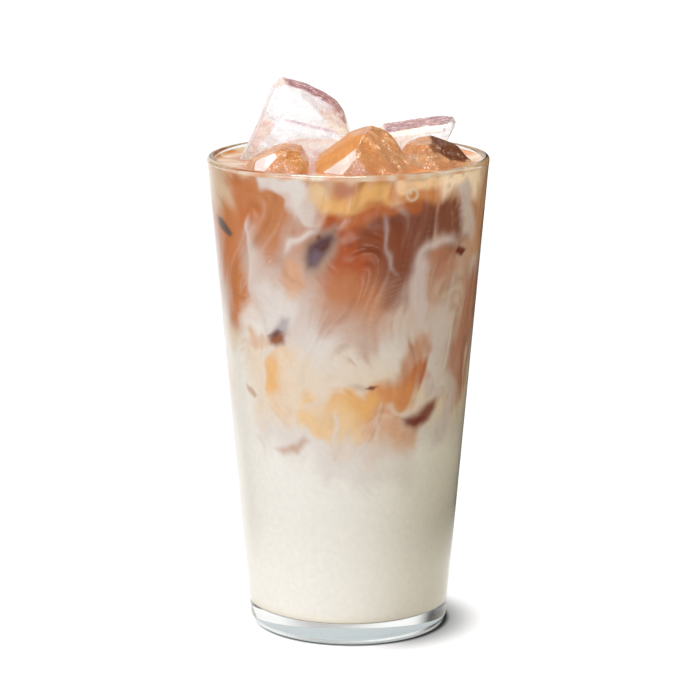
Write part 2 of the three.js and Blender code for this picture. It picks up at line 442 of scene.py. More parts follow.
# Facets that melting left on the ice: heading and lean in degrees, and mm cut off the corner there
ICE_FACETS = {
    "ice_back_left": [(-30, 30, 1.6), (40, 45, 1.2)],
    "ice_back_right": [(40, 20, 1.2)],
    "ice_centre": [(-60, 46, 2.2), (-36, 32, 1.5), (20, 40, 1.2)],
    "ice_front_left": [(-45, 35, 1.4), (30, 40, 1.2)],
    "ice_right": [(-40, 40, 1.2), (45, 55, 1.2)],
}

# Looks of the ice: name, tone and size in mm of its stains and of its painted glints, size and strength of
# its skin
CLEAR_ICE_LOOK = ("clear_tray_ice", "#6A2C38", 2.2, "#FFFFFF", 1.4, 2.4, 0.3)
COFFEE_ICE_LOOK = ("coffee_stained_tray_ice", "#7A4420", 4.5, "#FFEFD2", 1.1, 1.3, 1.0)

# Films on the ice, and pale painted highlights on some faces: tone, cover and mottling, and the heading,
# lean and spread in degrees of their faces
CLEAR_FILM = ("#FFFDF5", 0.3, 0.4)
COFFEE_FILM = ("#EDBB7C", 0.35, 0.75)
ICE_FILMS_AND_PAINTED_HIGHLIGHTS = {
    "ice_back_left": [
        ("#CC969E", 0.6, 1.0, 78, 64, 29),
        ("#F3E9E4", 0.4, 0.3, -80, 27, 24),
        ("#E6C6C8", 0.55, 0.5, 3, 15, 6),
    ],
    "ice_back_right": [
        ("#C48F95", 0.62, 1.0, -62, 81, 20),
        ("#E6D2D3", 0.6, 0.6, 70, 10, 22),
    ],
    "ice_centre": [
        ("#D28E4A", 0.85, 0.15, -66, 48, 22),
        # painted highlight: a pale strip on the facet that catches the light
        ("#F3E6CE", 0.85, 0.25, -36, 32, 9),
        ("#E2BC98", 0.5, 0.7, -12, 20, 14),
        ("#F2CB98", 0.5, 0.95, 60, 44, 26),
    ],
    "ice_front_left": [
        # painted highlight: pale on the faces towards the upper left
        ("#FBF1E0", 0.85, 0.3, -45, 35, 14),
        ("#E2AC6C", 0.4, 0.9, 30, 40, 30),
    ],
    "ice_right": [
        ("#E0A062", 0.5, 0.95, 0, 38, 44),
        ("#5E3018", 0.95, 0.3, 76, 66, 35),
    ],
}


def linear(hex_colour):
    """An sRGB hex colour as linear red, green and blue."""
    parts = [int(hex_colour[i : i + 2], 16) / 255 for i in (1, 3, 5)]
    return [c / 12.92 if c <= 0.04045 else ((c + 0.055) / 1.055) ** 2.4 for c in parts]


def rgba(hex_colour):
    return (*linear(hex_colour), 1.0)


PAINTS = {name: np.asarray(linear(value)) for name, value in TONES.items()}


def add_node(tree, kind, inputs=None, **settings):
    """Adds a node, sets its fields and fills its inputs with values or with other nodes' outputs."""
    made = tree.nodes.new("ShaderNode" + kind)
    for name, value in settings.items():
        setattr(made, name, value)
    for key, value in (inputs or {}).items():
        if isinstance(value, bpy.types.NodeSocket):
            tree.links.new(value, made.inputs[key])
        else:
            made.inputs[key].default_value = value
    return made


def maths(tree, operation, first, second, **settings):
    made = add_node(tree, "Math", {0: first, 1: second}, operation=operation, **settings)
    return made.outputs["Value"]


def rest_of(tree, share):
    return maths(tree, "SUBTRACT", 1.0, share)


def ranged(tree, value, start, end, low=0.0, high=1.0, **settings):
    """A value that runs from low to high while another runs from start to end."""
    inputs = {"Value": value, "From Min": start, "From Max": end, "To Min": low, "To Max": high}
    return add_node(tree, "MapRange", inputs, **settings).outputs["Result"]


def grain_of(tree, place, size, detail=2.0, distortion=0.0):
    inputs = {"Vector": place, "Scale": 1 / (size * MM), "Detail": detail, "Distortion": distortion}
    return add_node(tree, "TexNoise", inputs).outputs["Fac"]


def mixed(tree, factor, first, second):
    inputs = {"Factor": factor, "A": first, "B": second}
    return add_node(tree, "Mix", inputs, data_type="RGBA").outputs[2]


def scaled(tree, colour, share):
    inputs = {0: colour, "Scale": share}
    return add_node(tree, "VectorMath", inputs, operation="SCALE").outputs["Vector"]


def distance_from(tree, place, middle):
    inputs = {0: place, 1: [amount * MM for amount in middle]}
    return add_node(tree, "VectorMath", inputs, operation="DISTANCE").outputs["Value"]


def left_to_right(tree, place, stretch):
    """A share that sets in softly over a stretch in mm."""
    sideways = add_node(tree, "SeparateXYZ", {0: place}).outputs["X"]
    start, end = [x * MM for x in stretch]
    return ranged(tree, sideways, start, end, interpolation_type="SMOOTHSTEP")


def new_material(name):
    """An empty node material, its tree and the place of each point on the piece."""
    material = bpy.data.materials.new(name)
    material.use_nodes = True
    tree = material.node_tree
    tree.nodes.clear()
    return material, tree, add_node(tree, "TexCoord").outputs["Object"]


def add_surface(tree, kind, inputs):
    shader = add_node(tree, kind, inputs)
    add_node(tree, "OutputMaterial", {"Surface": shader.outputs[0]})


def bumped(tree, height, strength, depth):
    """Normals of a surface with bumps of a depth in mm."""
    inputs = {"Height": height, "Strength": strength, "Distance": depth * MM}
    return add_node(tree, "Bump", inputs).outputs["Normal"]


def outer_radius(z):
    return FOOT_RADIUS + (RIM_RADIUS - FOOT_RADIUS) * z / GLASS_HEIGHT


def inner_radius(z):
    up = (z - FLOOR_THICKNESS) / (GLASS_HEIGHT - FLOOR_THICKNESS)
    return outer_radius(z) - FLOOR_WALL - (RIM_WALL - FLOOR_WALL) * up


def arc(radius, middle_radius, middle_height, start, end, steps):
    """Points of an arc in the profile plane, angles in degrees from outwards towards up."""
    angles = np.radians(np.linspace(start, end, steps + 1))
    return [(middle_radius + radius * math.cos(a), middle_height + radius * math.sin(a)) for a in angles]


def floor_corner(gap, steps):
    """The rounding between the inside wall and the floor, moved in by a gap."""
    side = inner_radius(FLOOR_THICKNESS + FLOOR_ROUNDING) - gap
    rounding = FLOOR_ROUNDING - gap
    return arc(rounding, side - rounding, FLOOR_THICKNESS + FLOOR_ROUNDING, -90, 0, steps)


def mesh_object(name, vertices, faces):
    """A smooth-shaded object from points in millimetres."""
    mesh = bpy.data.meshes.new(name)
    mesh.from_pydata((np.asarray(vertices) * MM).tolist(), [], faces)
    mesh.shade_smooth()
    return linked(name, mesh)


def linked(name, data):
    made = bpy.data.objects.new(name, data)
    bpy.context.scene.collection.objects.link(made)
    return made


def hide_from(rays, *pieces):
    """Leaves pieces out of what some kinds of rays see."""
    for piece in pieces:
        for ray in rays:
            setattr(piece, "visible_" + ray, False)


def turned(name, profile, sides, front_fineness=0):
    """A profile of (radius, height) that starts and ends on the axis, turned into a closed mesh."""
    rings = np.asarray(profile[1:-1])
    angle = np.linspace(0, 2 * math.pi, sides, endpoint=False)
    angle = angle - front_fineness * np.sin(angle)
    x = np.outer(rings[:, 0], np.sin(angle))
    y = np.outer(rings[:, 0], -np.cos(angle))
    z = np.repeat(rings[:, 1:2], sides, axis=1)
    grid = np.stack([x, y, z], axis=2).reshape(-1, 3)
    start = [0, 0, profile[0][1]]
    end = [0, 0, profile[-1][1]]
    vertices = np.vstack([grid, start, end])
    first_pole = len(grid)
    last_pole = first_pole + 1
    last_ring = (len(rings) - 1) * sides
    faces = []
    for ring in range(len(rings) - 1):
        low = ring * sides
        for i in range(sides):
            j = (i + 1) % sides
            faces.append((low + i, low + j, low + sides + j, low + sides + i))
    for i in range(sides):
        j = (i + 1) % sides
        faces.append((first_pole, j, i))
        faces.append((last_pole, last_ring + i, last_ring + j))
    return mesh_object(name, vertices, faces)


def make_glass():
    foot_flat = outer_radius(FOOT_ROUNDING) - FOOT_ROUNDING
    lip = RIM_WALL / 2
    wall_top = GLASS_HEIGHT - WALL_BELOW_RIM
    inside_bottom = FLOOR_THICKNESS + FLOOR_ROUNDING + WALL_ABOVE_CORNER
    profile = [
        (0, PUNT_DEPTH),
        *[(PUNT_RADIUS - PUNT_SLOPE * inwards, PUNT_DEPTH * deep) for inwards, deep in PUNT_CURVE],
        *arc(FOOT_ROUNDING, foot_flat, FOOT_ROUNDING, -90, 0, FOOT_STEPS),
        *[(outer_radius(z), z) for z in np.linspace(WALL_FROM, wall_top, WALL_ROWS)],
        *arc(lip, RIM_RADIUS - lip, GLASS_HEIGHT - lip, 0, 180, RIM_STEPS),
        *[(inner_radius(z), z) for z in np.linspace(wall_top, inside_bottom, WALL_ROWS)],
        *floor_corner(0, CORNER_STEPS)[::-1],
        (0, FLOOR_THICKNESS),
    ]
    return turned("tumbler", profile, GLASS_SIDES)


def make_ice(node, material):
    """The block of a node with melted edges, a rippled wet surface and a film on some of its faces."""
    piece = linked(node + "_block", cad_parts[node].data.copy())
    piece.data.materials.clear()
    for heading, lean, depth in ICE_FACETS[node]:
        cut_facet(piece.data, direction(heading, lean), depth * MM)
    remesh = piece.modifiers.new("round", "REMESH")
    remesh.mode = "VOXEL"
    remesh.voxel_size = ICE_VOXEL * MM
    smooth = piece.modifiers.new("melt", "SMOOTH")
    smooth.factor = MELT_FACTOR
    smooth.iterations = MELT_STEPS
    bake_modifiers(piece)
    paint_ice(piece, node)
    ripple(piece)
    piece.data.materials.append(material)
    piece.data.shade_smooth()
    return piece


def direction(heading, lean):
    """Unit vector that faces a heading and leans up, in degrees."""
    turn = math.radians(heading)
    level = math.cos(math.radians(lean))
    return np.array([level * math.sin(turn), -level * math.cos(turn), math.sin(math.radians(lean))])


def cut_facet(mesh, facing, depth):
    """Cuts off the corner of a block that reaches furthest towards a direction."""
    work = bmesh.new()
    work.from_mesh(mesh)
    bmesh.ops.remove_doubles(work, verts=work.verts, dist=ICE_WELD * MM)
    reach = max(vertex.co.dot(facing) for vertex in work.verts) - depth
    cut = bmesh.ops.bisect_plane(
        work,
        geom=[*work.verts, *work.edges, *work.faces],
        plane_co=Vector(facing) * reach,
        plane_no=facing,
        clear_outer=True,
    )
    edges = [part for part in cut["geom_cut"] if isinstance(part, bmesh.types.BMEdge)]
    bmesh.ops.holes_fill(work, edges=edges)
    work.to_mesh(mesh)
    work.free()


def paint_ice(piece, node):
    """Colour, cover and mottling of the films and painted highlights at each vertex, by the way that the
    surface faces.
    """
    normals = np.array([n.vector[:] for n in piece.data.vertex_normals])
    tone, cover, mottling = CLEAR_FILM if node in CLEAR_ICE_NODES else COFFEE_FILM
    film_and_painted_highlight = np.tile([*linear(tone), cover, mottling], (len(normals), 1))
    for tone, cover, mottling, heading, lean, spread in ICE_FILMS_AND_PAINTED_HIGHLIGHTS[node]:
        off = np.degrees(np.arccos(np.clip(normals @ direction(heading, lean), -1, 1)))
        share = smooth_step(*FILM_EDGE, off / spread)[:, None]
        film_and_painted_highlight += share * (np.array([*linear(tone), cover, mottling]) - film_and_painted_highlight)
    layer = piece.data.color_attributes.new("film_and_painted_highlight", "FLOAT_COLOR", "POINT")
    layer.data.foreach_set("color", film_and_painted_highlight[:, :4].astype(np.float32).ravel())
    mottled = piece.data.attributes.new("mottling", "FLOAT", "POINT")
    mottled.data.foreach_set("value", film_and_painted_highlight[:, 4].astype(np.float32))


def bake_modifiers(piece):
    """Replaces a piece's mesh by what its modifiers make of it."""
    graph = bpy.context.evaluated_depsgraph_get()
    made = bpy.data.meshes.new_from_object(piece.evaluated_get(graph))
    piece.modifiers.clear()
    piece.data = made


def normals_of(piece):
    return [normal.vector.copy() for normal in piece.data.vertex_normals]


def ripple(piece):
    """Shallow dents and ripples of melting, along the surface's normals."""
    for vertex, normal in zip(piece.data.vertices, normals_of(piece)):
        broad = RIPPLE_DEPTH * noise.noise(vertex.co / (RIPPLE_SIZE * MM))
        fine = FINE_RIPPLE_DEPTH * noise.noise(vertex.co / (FINE_RIPPLE_SIZE * MM))
        vertex.co += normal * (broad + fine - RIPPLE_SINK) * MM


def points_of(piece):
    """Vertices in millimetres."""
    flat = np.empty(len(piece.data.vertices) * 3, np.float32)
    piece.data.vertices.foreach_get("co", flat)
    return flat.reshape(-1, 3).astype(float) / MM


def make_drink(ice_blocks, side_material, surface_material):
    """The milk and the coffee as one body that reaches just into the glass, hollowed round the ice."""
    plain_from = FLOOR_THICKNESS + FLOOR_ROUNDING + PLAIN_ABOVE_CORNER
    plain = np.linspace(plain_from, MARBLED_FROM, PLAIN_ROWS)[:-1]
    marbled = np.linspace(MARBLED_FROM, DRINK_LEVEL + MENISCUS_RISE, DRINK_ROWS)
    wall = [(inner_radius(z) + WALL_REACH, z) for z in [*plain, *marbled]]
    rim = wall[-1][0]
    shares = np.linspace(MENISCUS_FROM, 1, MENISCUS_ROWS)
    meniscus = [(rim - MENISCUS_WIDTH * t, DRINK_LEVEL + MENISCUS_RISE * (1 - t) ** 3) for t in shares]
    surface = [(r, DRINK_LEVEL) for r in np.linspace(meniscus[-1][0], 0, SURFACE_RINGS)[1:]]
    corner = floor_corner(-WALL_REACH, DRINK_CORNER_STEPS)
    profile = [(0, FLOOR_THICKNESS - WALL_REACH), *corner, *wall, *meniscus, *surface]
    piece = turned("latte", profile, DRINK_SIDES, FRONT_FINENESS)
    piece.data.materials.append(side_material)
    piece.data.materials.append(surface_material)
    surface_from = (DRINK_LEVEL - SURFACE_MARGIN) * MM
    for face in piece.data.polygons:
        face.material_index = int(face.center.z > surface_from and face.normal.z > SURFACE_LEVELNESS)
    cutters = [shrunk_copy(block, side_material) for block in ice_blocks]
    for cutter in cutters:
        cut = piece.modifiers.new("round ice", "BOOLEAN")
        cut.operation = "DIFFERENCE"
        cut.object = cutter
        cut.solver = "MANIFOLD"
    bake_modifiers(piece)
    for cutter in cutters:
        bpy.data.objects.remove(cutter)
    piece.data.shade_smooth()
    piece.data.set_sharp_from_angle(angle=math.radians(SHARP_EDGE))
    paint_drink(piece, ice_blocks)
    return piece


def shrunk_copy(block, material):
    """A slightly smaller block of ice to cut with, so that the drink reaches just into the ice."""
    copy = linked("cutter", block.data.copy())
    copy.data.materials.clear()
    copy.data.materials.append(material)
    for vertex, normal in zip(copy.data.vertices, normals_of(copy)):
        vertex.co -= normal * ICE_REACH * MM
    return copy


def smooth_step(low, high, value):
    """A soft rise from 0 to 1 while a value runs from low to high."""
    t = np.clip((value - low) / (high - low), 0, 1)
    return t * t * (3 - 2 * t)


def bell(value, width):
    return np.exp(-((value / width) ** 2))


def between(ends, share):
    return ends[0] + (ends[1] - ends[0]) * share


def on_wall(pixel):
    """Heading in degrees and height in mm of the place on the glass that a pixel shows."""
    forward = (Vector(AIM_MM) - Vector(CAMERA_MM)).normalized()
    right = forward.cross(Vector((0, 0, 1))).normalized()
    up = right.cross(forward)
    off_right = (pixel[0] - PHOTO_SIDE_PX / 2) / FOCAL_PX
    off_up = (PHOTO_SIDE_PX / 2 - pixel[1]) / FOCAL_PX
    ray = forward + right * off_right + up * off_up
    x, y, z = CAMERA_MM
    slope = (RIM_RADIUS - FOOT_RADIUS) / GLASS_HEIGHT
    radius = outer_radius(z)
    a = ray.x ** 2 + ray.y ** 2 - (slope * ray.z) ** 2
    b = x * ray.x + y * ray.y - radius * slope * ray.z
    c = x * x + y * y - radius * radius
    reach = (-b - math.sqrt(max(b * b - a * c, 0))) / a
    return math.degrees(math.atan2(x + reach * ray.x, -y - reach * ray.y)), z + reach * ray.z


def unrolled(heading):
    """Distance in mm along the wall from the front."""
    return np.radians(heading) * MEAN_RADIUS


class Eddies:
    """A steady flow of seeded whirls over the unrolled wall, the same at both ends of the round."""

    def __init__(self, seed, sizes, waves):
        chance = np.random.default_rng(seed)
        size = np.repeat(sizes, waves)
        angle = chance.uniform(0, 2 * math.pi, len(size))
        self.start = chance.uniform(0, 2 * math.pi, len(size))
        self.along = np.round(2 * math.pi / size * np.cos(angle) * MEAN_RADIUS) / MEAN_RADIUS
        self.up = 2 * math.pi / size * np.sin(angle)
        self.speed = np.sqrt(size) / waves

    def drift(self, along, height, steps, fall=0):
        """Places that the flow, with a steady fall in mm a step, carried to the given places."""
        for _ in range(steps):
            swing = np.zeros((2, len(along)))
            for k_along, k_up, start, speed in zip(self.along, self.up, self.start, self.speed):
                wave = np.cos(k_along * along + k_up * height + start) * speed / math.hypot(k_along, k_up)
                swing += np.array([[k_up], [-k_along]]) * wave
            along = along + EDDY_STEP * swing[0]
            height = height + EDDY_STEP * swing[1] + fall
        return along, height

    def level(self, along, height):
        """Smooth noise from about -1 to 1."""
        waves = [np.cos(a * along + u * height + s) for a, u, s in zip(self.along, self.up, self.start)]
        return np.sum(waves, axis=0) / math.sqrt(len(waves))


def streaks(along, height, sizes):
    """Soft noise of some sizes in mm, drawn out along a falling, winding flow, from about -1 to 1."""
    flow = Eddies(*FALLING_FLOW)
    grain = Eddies(STREAK_SEED, sizes, STREAK_WAVES)
    drawn = np.zeros(len(along))
    for _ in range(STREAK_STEPS):
        drawn += grain.level(along, height)
        along, height = flow.drift(along, height, STREAK_DRIFTS, fall=STREAK_FALL)
    return drawn / math.sqrt(STREAK_LIKENESS * STREAK_STEPS)


def corners_on_wall(pixels):
    """Pixels of the front picture as mm along and up the unrolled wall."""
    corners = np.array([on_wall(pixel) for pixel in pixels])
    corners[:, 0] = unrolled(corners[:, 0])
    return corners


def rounded(corners):
    """Points of a smooth curve through corners."""
    ends = np.vstack([2 * corners[0] - corners[1], corners, 2 * corners[-1] - corners[-2]])
    t = np.linspace(0, 1, CURVE_STEPS, endpoint=False)[:, None]
    spans = []
    for before, start, end, after in zip(ends, ends[1:], ends[2:], ends[3:]):
        slope = end - before
        bend = 2 * before - 5 * start + 4 * end - after
        twist = 3 * (start - end) + after - before
        spans.append(start + 0.5 * t * (slope + t * (bend + t * twist)))
    return np.vstack([*spans, corners[-1:]])


def on_curves(strokes):
    """Strokes whose pixel paths have become curves on the unrolled wall."""
    return [(*stroke, rounded(corners_on_wall(path))) for *stroke, path in strokes]


def beside(along, height, curve):
    """Distance in mm of each place to the right of a curve, and how far along it from 0 to 1."""
    round_length = 2 * math.pi * MEAN_RADIUS
    best = np.full(len(along), np.inf)
    side = np.ones(len(along))
    share = np.zeros(len(along))
    for i, ((x0, z0), (x1, z1)) in enumerate(zip(curve, curve[1:])):
        dx = x1 - x0
        dz = z1 - z0
        across = (along - x0 + round_length / 2) % round_length - round_length / 2
        up = height - z0
        t = np.clip((across * dx + up * dz) / (dx * dx + dz * dz), 0, 1)
        far = np.hypot(across - t * dx, up - t * dz)
        nearer = far < best
        best = np.where(nearer, far, best)
        side = np.where(nearer, np.where(across * dz > up * dx, 1, -1), side)
        share = np.where(nearer, (i + t) / (len(curve) - 1), share)
    return best * side, share


def outside_of(along, height, corners):
    """Distance in mm outside a flat-sided outline that runs clockwise, less than 0 inside it."""
    far = np.full(len(along), -np.inf)
    for start, end in zip(corners, np.roll(corners, -1, axis=0)):
        way = (end - start) / np.linalg.norm(end - start)
        far = np.maximum(far, way[0] * (height - start[1]) - way[1] * (along - start[0]))
    return far


def taper(share):
    """Fades a stroke out towards both of its ends."""
    return smooth_step(0, STROKE_END, share) * smooth_step(1, 1 - STROKE_END, share)


def back_strokes():
    """Seeded pools and folds that wind down the back of the drink, coffee high up and milk lower."""
    chance = np.random.default_rng(BACK_SEED)

    def winding(heights, points):
        heading = chance.uniform(*BACK_HEADINGS)
        falls = np.cumsum(chance.uniform(*BACK_FALL, points))
        sways = np.cumsum(chance.normal(0, BACK_SWAY, points))
        return rounded(np.column_stack([unrolled(heading) + sways, chance.uniform(*heights) - falls]))

    pools = []
    for i in range(BACK_POOLS):
        is_coffee = i % 2 == 0
        tone = chance.choice(COFFEE_TONES if is_coffee else MILK_TONES)
        path = winding(COFFEE_HEIGHTS if is_coffee else MILK_HEIGHTS, BACK_POOL_CORNERS)
        strength = chance.uniform(*BACK_POOL_STRENGTHS)
        pools.append((tone, strength, chance.uniform(*BACK_POOL_WIDTHS), path))
    folds = []
    for _ in range(BACK_FOLDS):
        path = winding(BACK_FOLD_HEIGHTS, BACK_FOLD_CORNERS)
        strength = chance.uniform(*BACK_FOLD_STRENGTHS)
        width = chance.uniform(*BACK_FOLD_WIDTHS)
        folds.append(("linen", strength, width, path[::chance.choice([-1, 1])]))
    return pools, folds


def laid(colour, name, cover):
    """Colours with a tone laid over them, as thick as its cover from 0 to 1."""
    return colour + cover[:, None] * (PAINTS[name] - colour)


def shown(setting, level):
    strength, low, high = setting
    return strength * smooth_step(low, high, level)


def ground_colours(heading, bent, streak):
    """Colours of the layers from milk to coffee, with a swaying border, before any stroke."""
    heights = [z for z, _ in LAYERS]
    tones = np.array([PAINTS[name] for _, name in LAYERS])
    behind = smooth_step(*BACK_STARTS, np.abs(heading))
    sway = between(SWAY_REACH, behind) * Eddies(*SWAYS).level(*bent)
    ground_height = bent[1] + sway + between(STREAK_REACH, behind) * streak
    return np.stack([np.interp(ground_height, heights, tones[:, i]) for i in range(3)], axis=1)


def lay_strokes(colour, curled, bent, streak, thread):
    back_pools, back_folds = back_strokes()
    for name, strength, width, curve in back_pools + on_curves(POOLS):
        far, _ = beside(*bent, curve)
        frayed = np.abs(far) / width + POOL_FIBRE * streak + POOL_FIBRE * thread
        colour = laid(colour, name, strength * smooth_step(*POOL_FADE, frayed))
    for name, strength, width, curve in back_folds + on_curves(FOLDS):
        far, share = beside(*curled, curve)
        fade = np.exp(-np.maximum(far, 0) / width)
        crisp = smooth_step(-FOLD_EDGE, FOLD_EDGE, far)
        colour = laid(colour, name, strength * crisp * fade * taper(share))
    for name, strength, width, curve in on_curves(WISPS):
        far, share = beside(*curled, curve)
        colour = laid(colour, name, strength * bell(far, width) * taper(share))
    return colour


def lay_threads(colour, height, streak, thread):
    """Fine threads of milk in the coffee and of coffee in the milk, and dark ones beside them."""
    coffee_share = np.clip(COFFEE_GAIN - COFFEE_GAIN * colour[:, 2] / PAINTS["milk"][2], 0, 1)
    colour = laid(colour, "linen", coffee_share * shown(MILK_STREAKS, streak))
    colour = laid(colour, "linen", coffee_share * shown(MILK_THREADS, thread))
    in_milk = (1 - coffee_share) * smooth_step(*COFFEE_THREADS_FROM, height)
    colour = laid(colour, "copper", in_milk * shown(COFFEE_THREADS, thread))
    shading = shown(DARK_STREAKS, streak) + shown(DARK_THREADS, thread)
    return colour * (1 - coffee_share * shading)[:, None]


def lay_trapped_air(colour, along, height):
    """Bubbles flat against the glass: darker inside, with a painted highlight round the rim and a painted
    glint.
    """
    for middle, size in TRAPPED_AIR:
        place = corners_on_wall([middle])[0]
        right = (along - place[0]) / size
        up = (height - place[1]) / size
        off = np.hypot(right, up)
        glint = np.hypot(right + AIR_GLINT, up - AIR_GLINT)
        colour = laid(colour, "copper", shown(AIR_INSIDE, off))
        colour = laid(colour, "peach", AIR_RIM * bell(off - 1, AIR_RIM_WIDTH))
        colour = laid(colour, "milk", AIR_RIM * bell(glint, AIR_RIM_WIDTH))
    return colour


def wall_colours(points):
    height = points[:, 2]
    heading = np.degrees(np.arctan2(points[:, 0], -points[:, 1]))
    along = unrolled(heading)
    curled = Eddies(*CURLS).drift(along, height, CURL_STEPS)
    bent = Eddies(*BENDS).drift(*curled, BEND_STEPS)
    streak = streaks(along, height, STREAK_SIZES)
    thread = streaks(along, height, THREAD_SIZES)
    colour = ground_colours(heading, bent, streak)
    colour = lay_strokes(colour, curled, bent, streak, thread)
    colour = lay_threads(colour, height, streak, thread)
    half_curled = between((along, curled[0]), SUNK_ICE_CURL), between((height, curled[1]), SUNK_ICE_CURL)
    for name, strength, blur, path in SUNK_ICE:
        far = outside_of(*half_curled, corners_on_wall(path))
        colour = laid(colour, name, strength * smooth_step(blur, -blur, far))
    colour = lay_trapped_air(colour, along, height)
    # Painted reflection and painted light: a thin brown line at the milk's bottom edge, and the underside a
    # pale blue-grey, as the glass foot shows them
    colour[height < FLOOR_THICKNESS + EDGE_REFLECTION_LINE] = PAINTS["painted_edge_reflection"]
    colour[height < FLOOR_THICKNESS + MILK_UNDERSIDE] = PAINTS["shade"]
    return colour


def hollow_colours(points):
    """Colours of the drink round the ice, deeper further down."""
    depth = np.clip((DRINK_LEVEL - points[:, 2]) / HOLLOW_FADE, 0, 1)[:, None]
    at_back = (points[:, 1] > 0)[:, None]
    near_tone = np.where(at_back, PAINTS["linen"], PAINTS["sand"])
    deep_tone = np.where(at_back, PAINTS["peach"], PAINTS["toffee"])
    return between((near_tone, deep_tone), depth)


def surface_colours(points, ice_blocks):
    """Colours of the drink's surface, stirred, and in darker coffee tones close to the ice."""
    stirred = Eddies(*SURFACE_FLOW).drift(points[:, 0], points[:, 1], SURFACE_STEPS)
    stir = smooth_step(*STIRRED, Eddies(*SURFACE_PATCHES).level(*stirred))
    wet = np.vstack([points_of(block) for block in ice_blocks])
    wet = wet[np.abs(wet[:, 2] - DRINK_LEVEL) < WATERLINE]
    gap = np.array([np.hypot(wet[:, 0] - x, wet[:, 1] - y).min() for x, y in points[:, :2]])
    stir = np.maximum(stir, shown(COPPER_ROUND_ICE, gap))[:, None]
    top = between((PAINTS["peach"], PAINTS["copper"]), stir)
    return laid(top, "amber", shown(AMBER_ROUND_ICE, gap))


def paint_drink(piece, ice_blocks):
    points = points_of(piece)
    height = points[:, 2]
    from_wall = inner_radius(height) - np.hypot(points[:, 0], points[:, 1])
    in_hollow = (from_wall > HOLLOW_FROM_WALL) & (height > DRINK_LEVEL - HOLLOW_DEPTH)
    is_top = height > DRINK_LEVEL - TOP_MARGIN
    colour = wall_colours(points)
    colour[in_hollow] = hollow_colours(points[in_hollow])
    colour[is_top] = surface_colours(points[is_top], ice_blocks)
    opaque = np.ones((len(colour), 1))
    layer = piece.data.color_attributes.new("marbling", "FLOAT_COLOR", "POINT")
    layer.data.foreach_set("color", np.hstack([colour, opaque]).astype(np.float32).ravel())


def soda_lime_glass():
    """Pressed and fire-polished soda-lime glass: clear, sharp reflections, faint waves from the mould."""
    material, tree, place = new_material("soda_lime_glass_fire_polished")
    waves = grain_of(tree, place, GLASS_WAVE_SIZE, detail=1.0)
    add_surface(tree, "BsdfPrincipled", {
        "Base Color": rgba("#FBFDFC"),
        "Roughness": 0.0,
        "IOR": 1.5,
        "Transmission Weight": 1.0,
        "Normal": bumped(tree, waves, GLASS_WAVE_STRENGTH, GLASS_WAVE_DEPTH),
    })
    return material


def wet_ice(name, stain_tone, stain_size, glint_tone, glint_size, skin_size, skin_strength):
    """Melting tray ice: clear, with a wet rippled skin, mottled films of coffee or frost, pale painted
    highlights on some faces, and painted glints.
    """
    material, tree, place = new_material(name)
    # the films carry pale painted highlights as well as coffee and frost
    film_and_painted_highlight = add_node(tree, "Attribute", attribute_name="film_and_painted_highlight")
    mottling = add_node(tree, "Attribute", attribute_name="mottling").outputs["Fac"]
    thin = ranged(tree, grain_of(tree, place, FILM_PATCH_SIZE, FINE_DETAIL), *FILM_THINNED)
    worn = maths(tree, "MULTIPLY", mottling, thin)
    even = maths(tree, "MULTIPLY", film_and_painted_highlight.outputs["Alpha"], rest_of(tree, worn))
    # painted glints: pale specks, off the stains, that stand for sparkle on the wet skin
    bright = ranged(tree, grain_of(tree, place, glint_size, distortion=GLINT_DISTORTION), *GLINTS_SHOWN)
    soaked = ranged(tree, grain_of(tree, place, stain_size), *STAINS_SHOWN)
    glinting = maths(tree, "MULTIPLY", rest_of(tree, soaked), bright)
    painted_glints = maths(tree, "MULTIPLY", mottling, glinting)
    cover = maths(tree, "MAXIMUM", even, painted_glints)
    stained = maths(tree, "MULTIPLY", maths(tree, "MULTIPLY", mottling, soaked), cover)
    tint = mixed(tree, stained, film_and_painted_highlight.outputs["Color"], rgba(stain_tone))
    skin = grain_of(tree, place, skin_size)
    rough = maths(tree, "MULTIPLY", mottling, skin_strength)
    add_surface(tree, "BsdfPrincipled", {
        "Base Color": mixed(tree, painted_glints, tint, rgba(glint_tone)),
        "Roughness": ranged(tree, cover, *ICE_ROUGHNESS),
        "IOR": 1.31,
        "Transmission Weight": rest_of(tree, cover),
        "Normal": bumped(tree, skin, rough, ICE_SKIN_DEPTH),
    })
    return material


def milk_coffee(name, gloss, roughness):
    """Coffee stirring into cold milk: opaque, soft-edged marbling with fine threads of milk fat."""
    material, tree, place = new_material(name)
    marbling = add_node(tree, "Attribute", attribute_name="marbling")
    lift = ranged(tree, grain_of(tree, place, LATTE_GRAIN_SIZE, FINE_DETAIL), *LATTE_GRAIN)
    add_surface(tree, "BsdfPrincipled", {
        "Base Color": scaled(tree, marbling.outputs["Color"], lift),
        "Roughness": roughness,
        "IOR": 1.34,
        "Specular IOR Level": gloss,
    })
    return material


